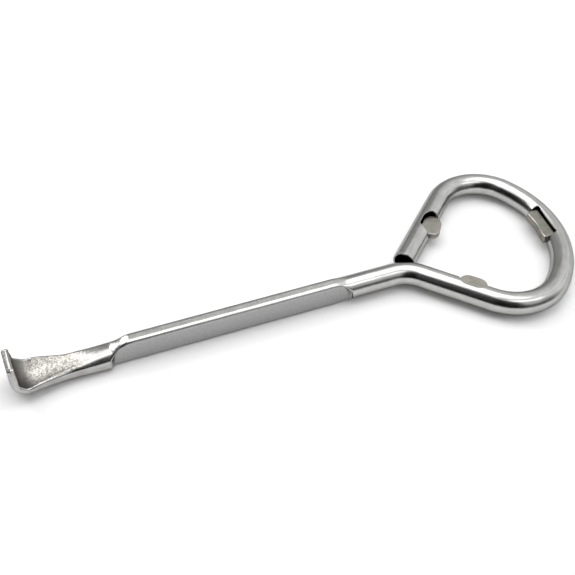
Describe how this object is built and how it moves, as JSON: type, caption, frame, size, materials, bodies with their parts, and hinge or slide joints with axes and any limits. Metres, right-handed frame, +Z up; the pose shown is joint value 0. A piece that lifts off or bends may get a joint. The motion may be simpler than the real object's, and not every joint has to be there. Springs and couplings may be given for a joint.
{
  "type": "hive tool",
  "caption": "Pry tool formed from a round steel tube: curled dished blade, flat-sided grip, and an open rounded loop with small flat lugs reaching inward",
  "frame": {"origin": "middle of the footprint, on the plane that the grip rests on", "axes": "+X runs along the shaft from the hook to the loop, +Y to the side of the loop's open leg, +Z up, the way the hook points"},
  "size_m": [0.2356, 0.084, 0.0165],
  "materials": {
    "polished_tube": "satin-polished steel with faint lengthwise drawing lines",
    "grip": "fine satin on the pressed flats, polished on the rounded edges",
    "blade": "polished rims with a lightly hammered hollow",
    "lugs": "satin with polished edges"
  },
  "bodies": {
    "root": {"hook_tip": "blade", "hook_bend": "blade", "scoop_blade": "blade", "blade_neck": "blade", "front_shoulder": "polished_tube", "grip_bar": "grip", "rear_shoulder": "polished_tube", "neck_tube": "polished_tube", "neck_bend": "polished_tube", "front_leg": "polished_tube", "front_corner": "polished_tube", "loop_bow": "polished_tube", "back_corner": "polished_tube", "back_leg": "polished_tube", "front_lug": "lugs", "bow_lug": "lugs", "back_lug": "lugs"}
  },
  "joints": []
}
